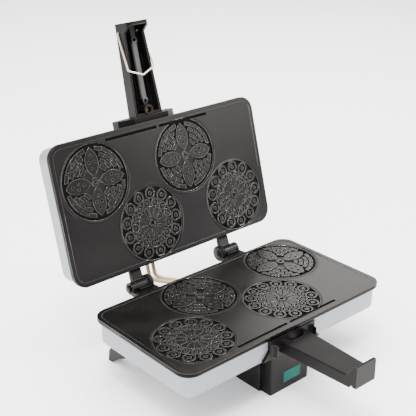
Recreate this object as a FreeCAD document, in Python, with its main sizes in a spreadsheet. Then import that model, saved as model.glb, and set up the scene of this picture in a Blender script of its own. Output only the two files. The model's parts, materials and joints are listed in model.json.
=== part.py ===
# Electric mini pizzelle baker: two hinged cast plates with four cookie moulds each, in satin
# metal casings, with long moulded handles, a wire latch and a front housing that is also a foot.
# Millimetres. +X right, +Y to the hinge, +Z up. The origin is the centre of the front foot's sole.
# Base pieces are drawn from the centre of the lower plate's baking face. Lid pieces are drawn
# closed, from the same point, and are then turned open about the hinge axis.
import FreeCAD, Part
import Sketcher
import math
import os

doc = FreeCAD.newDocument("PizzelleBaker")
V = FreeCAD.Vector

# Driving dimensions
dimensions = {
    "plate_length": 260.0,
    "plate_width": 140.6,
    "plate_thickness": 4.8,
    "plate_corner": 15.0,
    "plate_chamfer": 0.8,
    "border_width": 4.5,
    "border_step": 0.4,
    "cookie_radius": 37.5,
    "cookie_depth": 1.4,
    "cookie_pitch": 56.4,
    "cookie_row_pitch": 57.2,
    "cookie_row_shift": 2.1,
    "petal_middle": 19.6,
    "petal_half": 14.0,
    "petal_wide": 7.6,
    "petal_dot": 1.3,
    "petal_dot_step": 6.2,
    "petal_dot_side": 3.0,
    "eye_radius": 4.2,
    "brick_gap": 1.3,
    "brick_start": 14.5,
    "brick_rows": 4.0,
    "brick_edge": 36.0,
    "brick_clear": 1.4,
    "ray_count": 13.0,
    "ray_start": 5.6,
    "ray_end": 14.0,
    "ray_root": 0.8,
    "ray_tip": 2.9,
    "inner_loop_place": 20.9,
    "inner_loop_radius": 4.6,
    "inner_loop_hole": 3.2,
    "inner_loop_dot": 1.7,
    "outer_loop_place": 30.5,
    "outer_loop_radius": 6.2,
    "outer_loop_hole": 4.5,
    "outer_loop_dot": 2.3,
    "slot_length": 63.0,
    "slot_width": 3.0,
    "slot_depth": 1.0,
    "slot_bridge": 3.5,
    "slot_inset": 7.4,
    "boss_radius": 5.0,
    "boss_height": 9.0,
    "boss_inset_x": 22.0,
    "boss_inset_y": 24.0,
    "hinge_setback": 16.6,
    "hinge_drop": 0.7,
    "hinge_spread": 118.0,
    "knuckle_radius": 6.2,
    "knuckle_width": 13.0,
    "ear_width": 6.0,
    "knuckle_gap": 0.4,
    "lug_thickness": 5.6,
    "heel_reach": 10.6,
    "heel_width": 5.0,
    "stop_gap": 0.3,
    "pin_radius": 2.5,
    "pin_clearance": 0.05,
    "pin_head_radius": 4.0,
    "pin_head_height": 2.4,
    "pin_head_round": 1.7,
    "retainer_radius": 4.4,
    "retainer_thickness": 1.2,
    "plate_gap": 0.6,
    "open_angle": 105.0,
    "plate_height": 68.5,
    "casing_inset": 3.8,
    "casing_depth": 24.4,
    "casing_corner": 11.2,
    "casing_edge": 5.0,
    "casing_wall": 1.0,
    "notch_width": 60.0,
    "notch_depth": 21.0,
    "reflector_margin": 10.0,
    "reflector_thickness": 0.6,
    "screw_radius": 2.0,
    "screw_head_radius": 3.8,
    "screw_head_height": 2.0,
    "screw_bite": 6.0,
    "spacer_radius": 3.6,
    "element_radius": 3.2,
    "element_span": 190.0,
    "element_spread": 62.0,
    "element_bend": 25.0,
    "thermostat_radius": 9.0,
    "thermostat_height": 6.0,
    "housing_width": 55.4,
    "housing_front": 15.6,
    "housing_length": 52.0,
    "housing_wall": 2.2,
    "cover_width": 51.0,
    "cover_reach": 12.6,
    "cover_wall": 2.6,
    "ledge_drop": 23.2,
    "wing_drop": 10.4,
    "wing_thickness": 3.6,
    "flange_width": 59.0,
    "flange_thickness": 3.0,
    "flange_drop": 6.0,
    "flange_flare": 8.0,
    "flange_flare_drop": 9.0,
    "flange_sweep": 6.0,
    "back_flange_lip": 1.8,
    "back_flange_thickness": 1.6,
    "back_flange_rise": 5.0,
    "seat_gap": 0.1,
    "lens_width": 23.0,
    "lens_height": 12.0,
    "lens_shift": 2.6,
    "lens_drop": 54.8,
    "lens_depth": 4.0,
    "lens_bezel": 0.6,
    "lamp_radius": 3.0,
    "lamp_length": 22.0,
    "handle_base_half": 17.0,
    "handle_tip_half": 12.6,
    "handle_wall": 2.6,
    "handle_web": 3.0,
    "handle_rib": 5.0,
    "handle_rib_drop": 2.4,
    "handle_round": 1.2,
    "lower_handle_top": 10.6,
    "lower_handle_depth": 11.4,
    "lower_handle_length": 76.0,
    "scoop_radius": 16.0,
    "scoop_reach": 8.0,
    "scoop_depth": 6.0,
    "lip_run": 8.0,
    "lip_thickness": 3.2,
    "lip_notch": 2.2,
    "lower_lip_top": 0.5,
    "upper_handle_rim": 11.5,
    "upper_handle_depth": 13.0,
    "upper_handle_length": 83.0,
    "upper_lip_end": 0.8,
    "lip_round": 4.0,
    "screw_post_radius": 3.6,
    "screw_post_rise": 0.8,
    "screw_post_inset": 15.0,
    "screw_post_bore": 1.7,
    "screw_post_depth": 4.0,
    "root_boss_radius": 5.2,
    "root_boss_bore": 3.2,
    "root_boss_rise": 1.5,
    "root_boss_depth": 6.0,
    "upper_mount_reach": 8.6,
    "upper_mount_wide": 71.0,
    "upper_mount_narrow": 42.0,
    "upper_mount_low": 7.0,
    "upper_mount_high": 27.0,
    "wire_radius": 0.9,
    "wire_clearance": 0.05,
    "bail_pivot_rise": 8.2,
    "bail_pivot_back": 2.0,
    "bail_leg": 39.0,
    "bail_apex": 6.5,
    "bail_gap": 0.3,
    "bail_side_gap": 0.5,
    "bail_bend": 2.6,
    "bail_pivot_bend": 1.2,
    "leg_width": 12.0,
    "leg_inset_x": 33.0,
    "leg_sole": 6.0,
    "leg_reach": 14.5,
    "leg_root": 24.0,
    "leg_arch": 15.0,
    "lead_radius": 2.0,
    "lead_pitch": 3.6,
    "lead_upper_shift": 34.0,
    "lead_lower_shift": 11.0,
    "lead_drop": 6.0,
    "lead_lower_run": 15.0,
    "lead_upper_run": 13.0,
    "lead_bow_in": 4.0,
    "lead_bow_drop": 11.0,
    "lead_bend_share": 0.45,
    "grommet_radius": 3.2,
    "grommet_depth": 3.0,
    "bushing_radius": 7.0,
    "bushing_bore": 3.7,
    "bushing_length": 12.0,
    "bushing_shift": 60.0,
    "bushing_drop": 8.5,
}

sheet = doc.addObject("Spreadsheet::Sheet", "Sizes")
for row, (alias, number) in enumerate(dimensions.items(), start=1):
    sheet.set("A%d" % row, alias)
    sheet.set("B%d" % row, repr(number))
    sheet.setAlias("B%d" % row, alias)
doc.recompute()


class Size:
    # A length that knows both its number and the sheet expression that gives it.
    def __init__(self, number, text):
        self.number = number
        self.text = text

    @staticmethod
    def of(other):
        return other if isinstance(other, Size) else Size(float(other), repr(float(other)))

    def join(self, other, sign, number):
        return Size(number, "(%s %s %s)" % (self.text, sign, other.text))

    def __add__(self, other):
        other = Size.of(other)
        return self.join(other, "+", self.number + other.number)

    def __radd__(self, other):
        return Size.of(other) + self

    def __sub__(self, other):
        other = Size.of(other)
        return self.join(other, "-", self.number - other.number)

    def __rsub__(self, other):
        return Size.of(other) - self

    def __mul__(self, other):
        other = Size.of(other)
        return self.join(other, "*", self.number * other.number)

    def __rmul__(self, other):
        return Size.of(other) * self

    def __truediv__(self, other):
        other = Size.of(other)
        return self.join(other, "/", self.number / other.number)

    def __neg__(self):
        return Size(-self.number, "(0 - %s)" % self.text)

    def __float__(self):
        return float(self.number)


class Sizes:
    def __getattr__(self, alias):
        return Size(float(sheet.get(alias)), "Sizes." + alias)


d = Sizes()

# Places that several pieces share, measured from the centre of the lower baking face
half_length = d.plate_length / 2
half_width = d.plate_width / 2
hinge_y = half_width + d.hinge_setback
hinge_z = -d.hinge_drop
casing_front = d.casing_inset - half_width
casing_back = half_width - d.casing_inset
casing_floor = -(d.plate_thickness + d.casing_depth)
housing_front = d.housing_front - half_width
sole = -d.plate_height
sole_middle = housing_front + d.housing_length / 2
cover_front = housing_front - d.cover_reach
ear_offsets = [d.knuckle_width / 2 + d.knuckle_gap + d.ear_width / 2]
ear_offsets.append(-ear_offsets[0])

base_place = FreeCAD.Placement(V(0, -float(sole_middle), float(d.plate_height)), FreeCAD.Rotation())
hinge_point = V(0, float(hinge_y), float(hinge_z))
lid_turn = FreeCAD.Placement(V(), FreeCAD.Rotation(V(1, 0, 0), -float(d.open_angle)), hinge_point)
lid_place = base_place.multiply(lid_turn)

pieces = []


def keep(piece, place):
    piece.Placement = place
    pieces.append(piece)
    return piece


def bind(thing, field, size):
    if isinstance(size, Size):
        thing.setExpression(field, size.text)
    else:
        setattr(thing, field, size)


def new_body(label):
    body = doc.addObject("PartDesign::Body", label)
    body.Label = label
    return body


def sketch_on(body, name, role, offset=None):
    plane = next(item for item in body.Origin.OriginFeatures if item.Role == role)
    sketch = body.newObject("Sketcher::SketchObject", name)
    sketch.AttachmentSupport = (plane, [""])
    sketch.MapMode = "FlatFace"
    if offset is not None:
        sketch.setExpression("AttachmentOffset.Base.z", Size.of(offset).text)
    return sketch


def hold(sketch, geometry, point, kind, size):
    size = Size.of(size)
    index = sketch.addConstraint(Sketcher.Constraint(kind, -1, 1, geometry, point, size.number))
    sketch.setExpression("Constraints[%d]" % index, size.text)


def outline(sketch, points):
    first = sketch.GeometryCount
    corners = [V(float(Size.of(x)), float(Size.of(y)), 0) for x, y in points]
    count = len(points)
    for i in range(count):
        sketch.addGeometry(Part.LineSegment(corners[i], corners[(i + 1) % count]), False)
    for i in range(count):
        follower = first + (i + 1) % count
        sketch.addConstraint(Sketcher.Constraint("Coincident", first + i, 2, follower, 1))
    for i, (x, y) in enumerate(points):
        hold(sketch, first + i, 1, "DistanceX", x)
        hold(sketch, first + i, 1, "DistanceY", y)


def rectangle(sketch, left, low, right, high):
    outline(sketch, [(left, low), (right, low), (right, high), (left, high)])


def circle(sketch, x, y, radius):
    x, y, radius = Size.of(x), Size.of(y), Size.of(radius)
    shape = Part.Circle(V(x.number, y.number, 0), V(0, 0, 1), radius.number)
    index = sketch.addGeometry(shape, False)
    hold(sketch, index, 3, "DistanceX", x)
    hold(sketch, index, 3, "DistanceY", y)
    ring = sketch.addConstraint(Sketcher.Constraint("Radius", index, radius.number))
    sketch.setExpression("Constraints[%d]" % ring, radius.text)


def pad(body, sketch, length, back=False, both=False):
    feature = body.newObject("PartDesign::Pad", sketch.Name + "Pad")
    feature.Profile = sketch
    bind(feature, "Length", length)
    feature.Reversed = back
    if both:
        feature.SideType = "Symmetric"
    doc.recompute()
    return feature


def pocket(body, sketch, length, back=False, both=False):
    # Every cut has to take something away, so the volumes before and after are compared.
    before = body.Shape.Volume
    feature = body.newObject("PartDesign::Pocket", sketch.Name + "Cut")
    feature.Profile = sketch
    bind(feature, "Length", length)
    feature.Reversed = back
    if both:
        feature.SideType = "Symmetric"
    doc.recompute()
    if body.Shape.Volume > before - 1e-6:
        raise RuntimeError("%s cuts nothing" % feature.Name)
    return feature


def edge_names(shape, wanted):
    return ["Edge%d" % (i + 1) for i, edge in enumerate(shape.Edges) if wanted(edge)]


def upright(edge):
    box = edge.BoundBox
    return box.XLength < 1e-4 and box.YLength < 1e-4 and box.ZLength > 1e-4


def level_at(height):
    def test(edge):
        box = edge.BoundBox
        return box.ZLength < 1e-4 and abs(box.ZMin - float(height)) < 1e-4
    return test


def dress(body, kind, field, size, wanted):
    base = body.Tip
    feature = body.newObject("PartDesign::" + kind, base.Name + kind)
    feature.Base = (base, edge_names(base.Shape, wanted))
    bind(feature, field, size)
    doc.recompute()
    return feature


def rounded_path(points, radius):
    # Straight runs joined by tangent arcs. The radius is one number, or one for each inner point.
    edges = []
    start = points[0]
    radii = radius if isinstance(radius, list) else [radius] * (len(points) - 2)
    for i in range(1, len(points) - 1):
        corner = points[i]
        before = (points[i - 1] - corner).normalize()
        after = (points[i + 1] - corner).normalize()
        half_turn = (math.pi - before.getAngle(after)) / 2
        reach = radii[i - 1] * math.tan(half_turn)
        enter = corner + before * reach
        leave = corner + after * reach
        inward = (before + after).normalize()
        crown = corner + inward * (radii[i - 1] / math.cos(half_turn) - radii[i - 1])
        edges.append(Part.LineSegment(start, enter).toShape())
        edges.append(Part.Arc(enter, crown, leave).toShape())
        start = leave
    edges.append(Part.LineSegment(start, points[-1]).toShape())
    return Part.Wire(edges)


def tube(label, path, radius):
    first = path.Edges[0]
    direction = first.tangentAt(first.FirstParameter)
    ring = Part.Wire(Part.Circle(path.Vertexes[0].Point, direction, radius).toShape())
    shell = Part.BRepOffsetAPI.MakePipeShell(path)
    shell.add(ring)
    shell.build()
    shell.makeSolid()
    solid = shell.shape()
    expected = math.pi * radius ** 2 * path.Length
    print("%s: length %.1f mm, volume over section times length %.4f" % (
        label, path.Length, solid.Volume / expected))
    piece = doc.addObject("Part::Feature", label)
    piece.Label = label
    piece.Shape = solid
    return piece


def cylinder(name, radius, height, x, y, z, turn=None):
    item = doc.addObject("Part::Cylinder", name)
    bind(item, "Radius", radius)
    bind(item, "Height", height)
    if turn is not None:
        item.Placement.Rotation = turn
    for axis, size in zip("xyz", (x, y, z)):
        item.setExpression("Placement.Base." + axis, Size.of(size).text)
    return item


def group(label, items):
    # Separate solids kept together in one piece.
    piece = doc.addObject("Part::Compound", label)
    piece.Label = label
    piece.Links = items
    return piece


along_x = FreeCAD.Rotation(V(0, 1, 0), 90)
along_y = FreeCAD.Rotation(V(1, 0, 0), -90)
boss_places = []
for side_x in (-1, 1):
    for side_y in (-1, 1):
        boss_x = side_x * (half_length - d.boss_inset_x)
        boss_places.append((boss_x, side_y * (half_width - d.boss_inset_y)))

# The cookies stand in two rows, half a step apart, so that front and rear ones take turns.
cookie_places = []
for number in range(4):
    row = 1 if number % 2 else -1
    row_y = row * d.cookie_row_pitch / 2 + d.cookie_row_shift
    cookie_places.append(((number - 1.5) * d.cookie_pitch, row_y))


def grid_plate(label, side, face):
    # side is -1 for the lower plate, whose body lies under its face, and 1 for the upper one.
    body = new_body(label)
    up = side > 0
    slab = sketch_on(body, label + "Slab", "XY_Plane", face)
    rectangle(slab, -half_length, -half_width, half_length, half_width)
    pad(body, slab, d.plate_thickness, back=not up)
    dress(body, "Fillet", "Radius", d.plate_corner, upright)
    outer = face + side * d.plate_thickness
    dress(body, "Chamfer", "Size", d.plate_chamfer, level_at(outer))
    field = sketch_on(body, label + "Field", "XY_Plane", face)
    inner_x = half_length - d.border_width
    inner_y = half_width - d.border_width
    rectangle(field, -inner_x, -inner_y, inner_x, inner_y)
    pocket(body, field, d.border_step, back=up)
    corner_x = float(inner_x)

    def field_corner(edge):
        return upright(edge) and abs(abs(edge.BoundBox.XMin) - corner_x) < 1e-3

    dress(body, "Fillet", "Radius", d.plate_corner - d.border_width, field_corner)
    slots = sketch_on(body, label + "Slots", "XY_Plane", face)
    slot_y = d.slot_inset - half_width
    for hand in (-1, 1):
        near = hand * d.slot_bridge / 2
        far = hand * (d.slot_bridge / 2 + d.slot_length)
        left, right = (far, near) if hand < 0 else (near, far)
        rectangle(slots, left, slot_y - d.slot_width / 2, right, slot_y + d.slot_width / 2)
    pocket(body, slots, d.border_step + d.slot_depth, back=up)
    bosses = sketch_on(body, label + "Bosses", "XY_Plane", outer)
    for x, y in boss_places:
        circle(bosses, x, y, d.boss_radius)
    pad(body, bosses, d.boss_height, back=not up)
    hinge_lugs(body, label, side, outer)
    bores = sketch_on(body, label + "Bores", "XY_Plane", outer + side * d.boss_height)
    for x, y in boss_places:
        circle(bores, x, y, d.screw_radius)
    pocket(body, bores, d.screw_bite, back=not up)
    cookies = sketch_on(body, label + "Cookies", "XY_Plane", face)
    for number, (x, y) in enumerate(cookie_places):
        circle(cookies, x, y, d.cookie_radius)
        motif = rosette if (number % 2 == 0) != up else flower
        cookies.addGeometry(motif(V(float(x), float(y), 0)), False)
    pocket(body, cookies, d.border_step + d.cookie_depth, back=up)
    return body


def turned(centre, turn, x, y):
    return centre + V(x * math.cos(turn) - y * math.sin(turn), x * math.sin(turn) + y * math.cos(turn), 0)


def loop(centre, radius):
    return Part.Circle(centre, V(0, 0, 1), float(radius))


def closed_line(corners):
    return [Part.LineSegment(a, b) for a, b in zip(corners, corners[1:] + corners[:1])]


def flower(centre):
    # Islands left standing in a mould: four pitted petals, a ringed eye, and courses of bricks.
    middle, half, wide = float(d.petal_middle), float(d.petal_half), float(d.petal_wide)
    step, aside = float(d.petal_dot_step), float(d.petal_dot_side)
    lines = [loop(centre, d.eye_radius), loop(centre, d.eye_radius / 2)]
    for number in range(4):
        turn = number * math.pi / 2
        near = turned(centre, turn, middle - half, 0)
        far = turned(centre, turn, middle + half, 0)
        lines.append(Part.Arc(near, turned(centre, turn, middle, wide), far))
        lines.append(Part.Arc(far, turned(centre, turn, middle, -wide), near))
        for x, y in ((middle - step, 0), (middle + step, 0), (middle, aside), (middle, -aside)):
            lines.append(loop(turned(centre, turn, x, y), d.petal_dot))
        for corners in brick_courses():
            lines += closed_line([turned(centre, turn, x, y) for x, y in corners])
    return lines


def petal_edge(radius):
    # The angle at which a circle about the eye leaves a petal, with the bricks' clearance added.
    wide = float(d.petal_wide + d.brick_clear)
    half = float(d.petal_half + d.brick_clear)
    bow = (half * half + wide * wide) / (2 * wide)
    middle = float(d.petal_middle)
    along = (radius ** 2 + middle ** 2 + (wide - bow) ** 2 - bow ** 2) / (2 * radius)
    return math.acos(along / math.hypot(middle, wide - bow)) + math.atan2(wide - bow, middle)


def brick_courses():
    # Rows between two petals. Each row has one brick more than the row inside it.
    rows = int(float(d.brick_rows))
    start, edge, gap = float(d.brick_start), float(d.brick_edge), float(d.brick_gap)
    pitch = (edge - start) / rows
    widest = float(d.petal_middle + d.petal_half)
    bricks = []
    for row in range(rows):
        low = start + row * pitch
        high = low + pitch - gap
        middle = (low + high) / 2
        first = max(petal_edge(min(radius, widest)) for radius in (low, middle, high))
        count = row + 1
        joint = gap / middle
        width = (math.pi / 2 - 2 * first - joint * (count - 1)) / count
        for number in range(count):
            left = first + number * (width + joint)
            right = left + width
            corners = ((low, left), (high, left), (high, right), (low, right))
            bricks.append([(r * math.cos(a), r * math.sin(a)) for r, a in corners])
    return bricks


def rosette(centre):
    # Islands left standing in a mould: a daisy of rays inside two rings of beaded loops.
    count = int(float(d.ray_count))
    root, tip = float(d.ray_root), float(d.ray_tip)
    start, end = float(d.ray_start), float(d.ray_end)
    lines = [loop(centre, d.eye_radius), loop(centre, d.eye_radius / 2)]
    for number in range(count):
        turn = 2 * math.pi * number / count
        corners = [(end, tip), (start, root), (start, -root), (end, -tip)]
        corners = [turned(centre, turn, x, y) for x, y in corners]
        lines += closed_line(corners)[:3]
        lines.append(Part.Arc(corners[3], turned(centre, turn, end + tip, 0), corners[0]))
        inner = turned(centre, turn + math.pi / count, float(d.inner_loop_place), 0)
        outer = turned(centre, turn, float(d.outer_loop_place), 0)
        lines += [loop(inner, size) for size in (d.inner_loop_radius, d.inner_loop_hole, d.inner_loop_dot)]
        lines += [loop(outer, size) for size in (d.outer_loop_radius, d.outer_loop_hole, d.outer_loop_dot)]
    return lines


def hinge_lugs(body, label, side, outer):
    # Round knuckles on webs. The base has two ears at each hinge, the lid one lug between them.
    root_y = half_width - d.casing_inset
    offsets = ear_offsets if side < 0 else [Size.of(0)]
    width = d.ear_width if side < 0 else d.knuckle_width
    for hand in (-1, 1):
        for number, offset in enumerate(offsets):
            place = hand * d.hinge_spread / 2 + offset
            tag = "%sLug%s%d" % (label, "L" if hand < 0 else "R", number)
            web = sketch_on(body, tag + "Web", "YZ_Plane", place)
            tip_z = hinge_z + side * d.knuckle_radius
            outline(web, [
                (root_y, outer),
                (root_y, outer - side * d.lug_thickness / 2),
                (hinge_y, hinge_z),
                (hinge_y, tip_z),
                (hinge_y - d.knuckle_radius, tip_z),
            ])
            pad(body, web, width, both=True)
            eye = sketch_on(body, tag + "Eye", "YZ_Plane", place)
            circle(eye, hinge_y, hinge_z, d.knuckle_radius)
            pad(body, eye, width, both=True)
        if side > 0:
            stop_heel(body, label, hand)
        else:
            stop_rest(body, label, hand)
    bore = sketch_on(body, label + "PinBore", "YZ_Plane")
    circle(bore, hinge_y, hinge_z, d.pin_radius + d.pin_clearance)
    pocket(body, bore, d.plate_length, both=True)


def stop_heel(body, label, hand):
    # A heel under the lid's knuckle. With the lid open it stands against the base.
    turn = math.radians(float(d.open_angle))
    tag = "%sHeel%s" % (label, "L" if hand < 0 else "R")
    heel = sketch_on(body, tag, "YZ_Plane", hand * d.hinge_spread / 2)
    reach = d.heel_reach
    half = d.heel_width / 2
    toward_y, toward_z = -math.cos(turn), -math.sin(turn)
    corners = []
    for along, across in ((0, -1), (reach, -1), (reach, 1), (0, 1)):
        y = hinge_y + along * toward_y - across * half * toward_z
        z = hinge_z + along * toward_z + across * half * toward_y
        corners.append((y, z))
    outline(heel, corners)
    pad(body, heel, d.knuckle_width, both=True)


def stop_rest(body, label, hand):
    # The bar between the base's ears that the lid's heel stands against.
    tag = "%sRest%s" % (label, "L" if hand < 0 else "R")
    rest = sketch_on(body, tag, "YZ_Plane", hand * d.hinge_spread / 2)
    stop_y = hinge_y - d.heel_reach - d.stop_gap
    rectangle(rest, half_width - d.casing_inset, -d.plate_thickness, stop_y, hinge_z)
    pad(body, rest, d.knuckle_width + 2 * (d.knuckle_gap + d.ear_width), both=True)


def casing(label, side, face):
    body = new_body(label)
    up = side > 0
    rim = face + side * d.plate_thickness
    floor = rim + side * d.casing_depth
    long_half = half_length - d.casing_inset
    block = sketch_on(body, label + "Block", "XY_Plane", rim)
    rectangle(block, -long_half, casing_front, long_half, casing_back)
    pad(body, block, d.casing_depth, back=not up)
    dress(body, "Fillet", "Radius", d.casing_corner, upright)
    dress(body, "Fillet", "Radius", d.casing_edge, level_at(floor))
    tip = body.Tip
    lid_face = [
        "Face%d" % (i + 1) for i, item in enumerate(tip.Shape.Faces)
        if item.BoundBox.ZLength < 1e-4 and abs(item.BoundBox.ZMin - float(rim)) < 1e-4
    ]
    shell = body.newObject("PartDesign::Thickness", label + "Shell")
    shell.Base = (tip, lid_face)
    bind(shell, "Value", d.casing_wall)
    shell.Reversed = True
    doc.recompute()
    if not up:
        notch = sketch_on(body, label + "Notch", "XZ_Plane", -casing_front)
        rectangle(notch, -d.notch_width / 2, rim - d.notch_depth, d.notch_width / 2, rim)
        pocket(body, notch, 4 * d.casing_wall, both=True)
    holes = sketch_on(body, label + "ScrewHoles", "XY_Plane", floor)
    for x, y in boss_places:
        circle(holes, x, y, d.screw_radius)
    pocket(body, holes, 4 * d.casing_wall, both=True)
    ports = sketch_on(body, label + "Ports", "XZ_Plane", -casing_back)
    for x in lead_places[side]:
        circle(ports, x, rim + side * d.lead_drop, d.grommet_radius)
    if not up:
        circle(ports, d.bushing_shift, rim - d.bushing_drop, d.bushing_radius)
    pocket(body, ports, 4 * d.casing_wall, both=True)
    return body


# The leads leave the lid further to the left than they leave the base.
lead_places = {
    -1: [-d.lead_lower_shift - d.lead_pitch, d.lead_pitch - d.lead_lower_shift],
    1: [-d.lead_upper_shift - d.lead_pitch, d.lead_pitch - d.lead_upper_shift],
}


def reflector(label, side, face):
    # A thin heat shield, clamped between the plate's bosses and the spacers.
    body = new_body(label)
    start = face + side * (d.plate_thickness + d.boss_height)
    sheet_x = half_length - d.casing_inset - d.reflector_margin
    sheet_y = half_width - d.casing_inset - d.reflector_margin
    slab = sketch_on(body, label + "Slab", "XY_Plane", start)
    rectangle(slab, -sheet_x, -sheet_y, sheet_x, sheet_y)
    pad(body, slab, d.reflector_thickness, back=side < 0)
    holes = sketch_on(body, label + "Holes", "XY_Plane", start)
    for x, y in boss_places:
        circle(holes, x, y, d.screw_radius)
    pocket(body, holes, 4 * d.reflector_thickness, both=True)
    return body


def fastening(prefix, side, face):
    # Screws from the casing's floor into the plate's bosses, and the spacers that they pass.
    plate_end = face + side * (d.plate_thickness + d.boss_height)
    floor = face + side * (d.plate_thickness + d.casing_depth)
    shield = plate_end + side * d.reflector_thickness
    inner = floor - side * d.casing_wall
    screws = []
    spacers = []
    bite = d.screw_bite - d.seat_gap
    shank_length = d.casing_depth - d.boss_height + bite
    spacer_length = d.casing_depth - d.casing_wall - d.boss_height - d.reflector_thickness
    for number, (x, y) in enumerate(boss_places):
        name = "%sScrew%d" % (prefix, number)
        shank_low = plate_end - bite if side > 0 else floor
        head_low = floor if side > 0 else floor - d.screw_head_height
        shank_radius = d.screw_radius - d.pin_clearance
        shank = cylinder(name + "Shank", shank_radius, shank_length, x, y, shank_low)
        head = cylinder(name + "Head", d.screw_head_radius, d.screw_head_height, x, y, head_low)
        joined = doc.addObject("Part::Fuse", name)
        joined.Base = head
        joined.Tool = shank
        screws.append(joined)
        low = shield if side > 0 else inner
        outer = cylinder("%sSpacerOuter%d" % (prefix, number), d.spacer_radius, spacer_length, x, y, low)
        bore = cylinder("%sSpacerBore%d" % (prefix, number), d.screw_radius, spacer_length, x, y, low)
        sleeve = doc.addObject("Part::Cut", "%sSpacer%d" % (prefix, number))
        sleeve.Base = outer
        sleeve.Tool = bore
        spacers.append(sleeve)
    return group(prefix + "_casing_screws", screws), group(prefix + "_spacers", spacers)


def heating_element(label, side, face):
    # A bent tubular element that lies against the plate's back.
    radius = float(d.element_radius)
    z = float(face) + side * (float(d.plate_thickness) + radius)
    reach = float(d.element_span) / 2
    spread = float(d.element_spread) / 2
    points = [V(reach, -spread, z), V(-reach, -spread, z), V(-reach, spread, z), V(reach, spread, z)]
    return tube(label, rounded_path(points, float(d.element_bend)), radius)


def hinge_pins(hand):
    # A headed pin from the outer end and a push-on retainer at its inner end.
    name = "left" if hand < 0 else "right"
    outer_ear = d.knuckle_width / 2 + d.knuckle_gap + d.ear_width
    span = 2 * outer_ear + d.retainer_thickness + d.pin_head_height / 2
    middle = hand * d.hinge_spread / 2
    inner_end = middle - hand * (outer_ear + d.retainer_thickness + d.pin_head_height / 2)
    outer_end = middle + hand * outer_ear
    low = inner_end if hand > 0 else outer_end
    shank = cylinder(name + "PinShank", d.pin_radius, span, low, hinge_y, hinge_z, along_x)
    head_low = outer_end if hand > 0 else outer_end - d.pin_head_height
    place = (hinge_y, hinge_z, along_x)
    head = cylinder(name + "PinHead", d.pin_head_radius, d.pin_head_height, head_low, *place)
    joined = doc.addObject("Part::Fuse", name + "PinBlank")
    joined.Base = head
    joined.Tool = shank
    doc.recompute()
    far = float(outer_end) + hand * float(d.pin_head_height)
    pin = doc.addObject("Part::Fillet", name + "_hinge_pin")
    pin.Label = name + "_hinge_pin"
    pin.Base = joined
    rim = [
        (i + 1, float(d.pin_head_round), float(d.pin_head_round))
        for i, edge in enumerate(joined.Shape.Edges)
        if edge.BoundBox.XLength < 1e-4 and abs(edge.BoundBox.XMin - far) < 1e-4
    ]
    pin.Edges = rim
    ring_low = inner_end + hand * d.pin_head_height / 2 if hand > 0 else middle + outer_ear
    ring = cylinder(name + "RetainerDisc", d.retainer_radius, d.retainer_thickness, ring_low, *place)
    hole = cylinder(name + "RetainerHole", d.pin_radius, d.retainer_thickness, ring_low, *place)
    clip = doc.addObject("Part::Cut", name + "Retainer")
    clip.Base = ring
    clip.Tool = hole
    return pin, clip


def control_housing():
    # The hollow box under the casing. It holds the lamp and is the front foot.
    body = new_body("control_housing")
    half = d.housing_width / 2
    back = housing_front + d.housing_length
    block = sketch_on(body, "HousingBlock", "XY_Plane", casing_floor)
    rectangle(block, -half, housing_front, half, back)
    pad(body, block, d.plate_height + casing_floor, back=True)
    back_y = float(back)

    def rear_corner(edge):
        return upright(edge) and abs(edge.BoundBox.YMin - back_y) < 1e-3

    dress(body, "Fillet", "Radius", 2 * d.housing_wall, rear_corner)
    room = sketch_on(body, "HousingRoom", "XY_Plane", casing_floor)
    inner = half - d.housing_wall
    rectangle(room, -inner, housing_front - d.housing_wall, inner, back - d.housing_wall)
    pocket(body, room, d.plate_height + casing_floor - d.housing_wall)
    return body


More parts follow.
